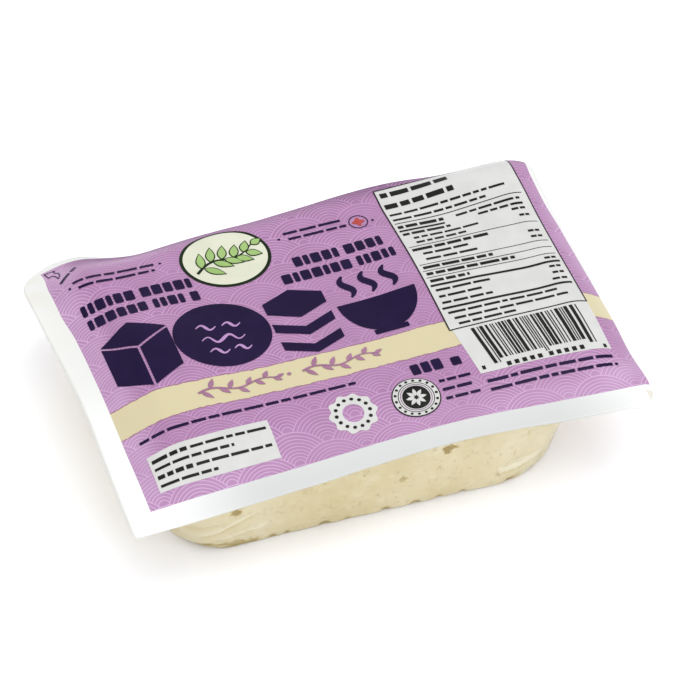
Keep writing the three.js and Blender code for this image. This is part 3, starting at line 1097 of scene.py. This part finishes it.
def wallRelief(x, z):
    # how far the near wall stands out here
    relief = sum(height * waver(x, z, sizeX, sizeZ, seed) for sizeX, sizeZ, seed, height in wallRipples)
    pull = blockLook["cornerPull"]
    relief += blockLook["lean"] * min(1, max(-1, x / blockLook["leanReach"]))
    relief -= pull["depth"] * smooth((x - pull["start"]) / (pull["end"] - pull["start"]))
    relief -= sum(strength * depth for strength, depth, stainAndShade in wallSpots(x, z))
    return relief + sum(wallFolds(x, z)) - edgeFold(x, z)


def wallStainAndShade(x, z):
    # over 0 where whey stains or painted shade darken the curd, under 0 where it is paler, with painted
    # highlight on crease ridges
    ends, notchShade, line, fold = (stainAndShadeLook[k] for k in ("ends", "edgeFolds", "bottomLine", "filmFold"))
    total = sum(strength * stainAndShade for strength, depth, stainAndShade in wallSpots(x, z))
    # painted shade in the creases' hollows and painted highlight on their ridges
    total -= stainAndShadeLook["creaseShading"] * sum(wallFolds(x, z))
    total -= ends["strength"] * smooth((abs(x) - ends["from"]) / ends["over"])
    # painted shade in the folds along the bottom edge
    total += notchShade["strength"] * edgeFold(x, z) * smooth((notchShade["from"] - z) / notchShade["over"])
    # a thin uneven line along the very bottom: whey, and painted shade where the block meets the floor
    unevenLine = line["strength"] + line["uneven"] * waver(x, 0.5, 2.5, 1, 9.4)
    total += unevenLine * smooth((line["from"] - z) / line["over"])
    # the fold of film under the near left corner
    wx, wz = shifted(x, z, 1.7, 1.3)
    band = smooth((fold["from"] - wz) / fold["over"]) * smooth((fold["right"] - wx) / fold["rightOver"])
    total += band * (1.0 + fold["uneven"] * waver(x, z, 1.6, 0.8, 3.3))
    return min(1.0, max(-1.0, total))


def outlinePoints(o, inset=0.0):
    # points round a rounded outline, anticlockwise from its near left corner, close together on the near side
    left, right = o["left"] + inset, o["right"] - inset
    near, far = o["near"] + inset, o["far"] - inset
    points = []

    def side(x0, y0, x1, y1, count):
        for i in range(count):
            points.append((mix(x0, x1, i / count), mix(y0, y1, i / count)))

    def corner(cx, cy, radius, start):
        for i in range(blockLook["corner"]):
            angle = math.radians(start + 90 * i / blockLook["corner"])
            points.append((cx + radius * math.cos(angle), cy + radius * math.sin(angle)))

    a, b, c, d = (o[k] for k in ("nearRight", "farRight", "farLeft", "nearLeft"))
    side(left + d, near, right - a, near, blockLook["near"])
    corner(right - a, near + a, a, -90)
    side(right, near + a, right, far - b, blockLook["end"])
    corner(right - b, far - b, b, 0)
    side(right - b, far, left + c, far, blockLook["far"])
    corner(left + c, far - c, c, 90)
    side(left, far - c, left, near + d, blockLook["end"])
    corner(left + d, near + d, d, 180)
    return points


def sleeve(name, rings):
    # a body from rings of points: the grid's first and last columns meet, and a ring whose points
    # are all one closes an end
    count = len(rings[0])
    piece = newGrid(name, count, len(rings) - 1)
    for vertex in piece.data.vertices:
        column = round((vertex.co.x + 1) / 2 * count) % count
        row = round((vertex.co.y + 1) / 2 * (len(rings) - 1))
        vertex.co = Vector(rings[row][column]) * mm
    selectOnly(piece)
    bpy.ops.object.mode_set(mode="EDIT")
    bpy.ops.mesh.select_all(action="SELECT")
    bpy.ops.mesh.remove_doubles(threshold=0.00001)
    bpy.ops.mesh.normals_make_consistent(inside=False)
    bpy.ops.object.mode_set(mode="OBJECT")
    return piece


def edgeRadius(x, y):
    edge = bottomEdge
    away = smooth((abs(x - edge["middle"]) - edge["halfLength"]) / edge["blend"])
    back = smooth((y - edge["back"]) / edge["blend"])
    return mix(edge["near"], edge["corner"], max(away, back))


def wallRings(gap, rows, edgeRows):
    # from the middle of the bottom, round its edge and up the wall to just under the lid
    heel = outlinePoints(heelOutline, gap)
    inner = outlinePoints(heelOutline, gap + 1)
    foot = outlinePoints(footOutline, gap)
    radii = [edgeRadius(x, y) for x, y in heel]
    rings = [[(0, 0, gap)] * len(heel)]
    rings.append([(x, y, gap) for x, y in outlinePoints(heelOutline, 11)])
    for i in range(edgeRows + 1):
        angle = math.radians(90 * i / edgeRows)
        ring = []
        for (hx, hy), (ix, iy), r in zip(heel, inner, radii):
            inset = r * (1 - math.sin(angle))
            ring.append((mix(hx, ix, inset), mix(hy, iy, inset), gap + r * (1 - math.cos(angle))))
        rings.append(ring)
    for i in range(1, rows + 1):
        t = i / rows
        ring = []
        for (hx, hy), (fx, fy), r in zip(heel, foot, radii):
            top = filmHeight(fx, fy) - blockLook["underLid"] - gap
            ring.append((mix(hx, fx, t), mix(hy, fy, t), mix(r + gap, top, t)))
        rings.append(ring)
    return rings


def capRings(gap, shares):
    # under the lid, from the wall's top to the middle
    drop = blockLook["underLid"] + gap
    foot = outlinePoints(footOutline, gap)
    return [[(x * t, y * t, filmHeight(x * t, y * t) - drop) for x, y in foot] for t in shares]


def makeTofuMaterial():
    look = blockLook
    tint = {name: tone(look[name]) for name in ("curd", "curdDeep", "curdPale", "whey")}
    material, tree, shader = newMaterial("firmTofu")
    place = tree.nodes.new("ShaderNodeTexCoord").outputs["Object"]
    broad, blotches, pores = (noiseMask(tree, place, *look[name]) for name in ("broad", "blotches", "pores"))
    stainAndShade = tree.nodes.new("ShaderNodeAttribute")
    stainAndShade.attribute_name = "stainAndShade"
    # the attribute holds whey stains and painted shade, and under 0 paler places, some of them painted
    # highlight
    paler = rampNode(tree, stainAndShade.outputs["Fac"], 0.0, -1.0)
    darker = rampNode(tree, stainAndShade.outputs["Fac"], 0.05, 0.95)
    curd = mixColour(tree, broad, tint["curdDeep"], tint["curd"])
    for mask, name in ((blotches, "curdPale"), (pores, "whey"), (paler, "curdPale"), (darker, "whey")):
        curd = mixColour(tree, mask, curd, tint[name])
    tree.links.new(curd, shader.inputs["Base Color"])
    height = plus(tree, times(tree, noiseNode(tree, place, *look["grain"]), look["grainDepth"]),
                  noiseNode(tree, place, *look["lumps"]))
    height = minus(tree, height, times(tree, pores, look["poreDepth"]))
    addBump(tree, shader, height, look["bump"], look["bumpDepth"])
    setSockets(shader, Roughness=look["roughness"], Coat_Weight=look["coat"],
               Coat_Roughness=look["coatRoughness"])
    return material


def markWall(piece):
    # moves the near wall's points by its relief and keeps the stains and painted shade as an attribute
    reach = blockLook["wallReach"]
    layer = piece.data.attributes.new("stainAndShade", "FLOAT", "POINT")
    for vertex in piece.data.vertices:
        x, y, z = vertex.co / mm
        nearness = smooth((reach["far"] - y) / reach["farBlend"])
        nearness *= smooth((z - reach["low"]) / reach["lowBlend"])
        nearness *= smooth((reach["high"] - z) / reach["highBlend"])
        if nearness > 0:
            layer.data[vertex.index].value = nearness * wallStainAndShade(x, z)
            vertex.co.y -= nearness * wallRelief(x, z) * mm


tofuRings = wallRings(blockLook["gap"], blockLook["rows"], blockLook["edgeRows"])
tofu = sleeve("TofuBlock", tofuRings + capRings(blockLook["gap"], blockLook["topShares"]))
markWall(tofu)
finishPiece(tofu, makeTofuMaterial(), "tofu", "tofu_pocket")
print("tofu made")

# ---- clear film: rim, pocket wall and bottom

clearLook = {
    "tint": "f1efe6", "alpha": 0.06, "gloss": 0.12, "glossSpread": 0.08, "bump": 0.4, "specular": 0.7,
    "thickness": 0.1, "rimDrop": 0.25, "rows": 40, "edgeRows": 10, "rimShares": (0.0, 0.35, 0.7, 1.0),
}


def makeClearMaterial():
    look = clearLook
    material, tree, shader = newMaterial("clearFilm")
    dressFilmSkin(tree, shader, look["gloss"], look["glossSpread"], look["bump"])
    setSockets(shader, Base_Color=tone(look["tint"]), Alpha=look["alpha"],
               Specular_IOR_Level=look["specular"])
    return material


rimEdge = [drawnIn(x, y) for x, y in outlinePoints(lidShape)]
rimFoot = outlinePoints(footOutline)
clearRings = wallRings(0.0, clearLook["rows"], clearLook["edgeRows"])
for share in clearLook["rimShares"]:
    rim = [(mix(fx, ex, share), mix(fy, ey, share)) for (fx, fy), (ex, ey) in zip(rimFoot, rimEdge)]
    clearRings.append([(x, y, filmHeight(x, y) - clearLook["rimDrop"]) for x, y in rim])
clearFilm = sleeve("ClearFilm", clearRings)
thicken(clearFilm, clearLook["thickness"], 1)   # its faces look inward, so it grows that way
markWall(clearFilm)
finishPiece(clearFilm, makeClearMaterial(), "clear_film", "clear_rim")
print("clear film made")

# ---- floor, light and camera

studio = {
    "floor": "f9faff", "floorGlow": 0.12, "floorRoughness": 0.8, "floorSize": 6, "floorLevel": -0.1,
    "world": 0.92,
    "lights": [
        ("Overhead", (0.15, -0.2, 1.4), 1.8, 0.7, 8.2),
        ("FrontRight", (1.4, -1.5, 1.0), 1.3, 1.3, 6.0),
    ],
    "target": (7.2, 6.3, 15.0), "azimuth": -19.80, "elevation": 43.28, "distance": 1469.0,
    "focal": 5194.0, "width": 700,   # focal length and picture width in pixels
    "sensor": 36, "clip": (0.05, 20),
}
white = (1, 1, 1, 1)

bpy.ops.object.select_all(action="DESELECT")
bpy.ops.mesh.primitive_plane_add(size=studio["floorSize"], location=(0, 0, studio["floorLevel"] * mm))
floor = bpy.context.object
floor.name = "Floor"
floorMaterial, _, floorShader = newMaterial("paleFloor")
setSockets(floorShader, Base_Color=tone(studio["floor"]), Roughness=studio["floorRoughness"],
           Emission_Color=white, Emission_Strength=studio["floorGlow"])
floor.data.materials.append(floorMaterial)

world = bpy.context.scene.world or bpy.data.worlds.new("studio")
bpy.context.scene.world = world
world.use_nodes = True
setSockets(world.node_tree.nodes["Background"], Color=white, Strength=studio["world"])

for name, place, width, depth, power in studio["lights"]:
    bpy.ops.object.light_add(type="AREA", location=place)
    light = bpy.context.object
    light.name = name
    light.data.energy = power
    light.data.shape = "RECTANGLE"
    light.data.size = width
    light.data.size_y = depth
    light.rotation_euler = Vector(place).to_track_quat("Z", "Y").to_euler()

a = math.radians(studio["azimuth"])
e = math.radians(studio["elevation"])
back = Vector((math.sin(a) * math.cos(e), -math.cos(a) * math.cos(e), math.sin(e)))
bpy.ops.object.camera_add(location=(Vector(studio["target"]) + back * studio["distance"]) * mm)
camera = bpy.context.object
camera.name = "Camera"
camera.rotation_euler = back.to_track_quat("Z", "Y").to_euler()
camera.data.sensor_width = studio["sensor"]
camera.data.lens = studio["focal"] / studio["width"] * studio["sensor"]
camera.data.clip_start, camera.data.clip_end = studio["clip"]
bpy.context.scene.camera = camera
bpy.context.scene.view_settings.view_transform = "Standard"
print("studio made")
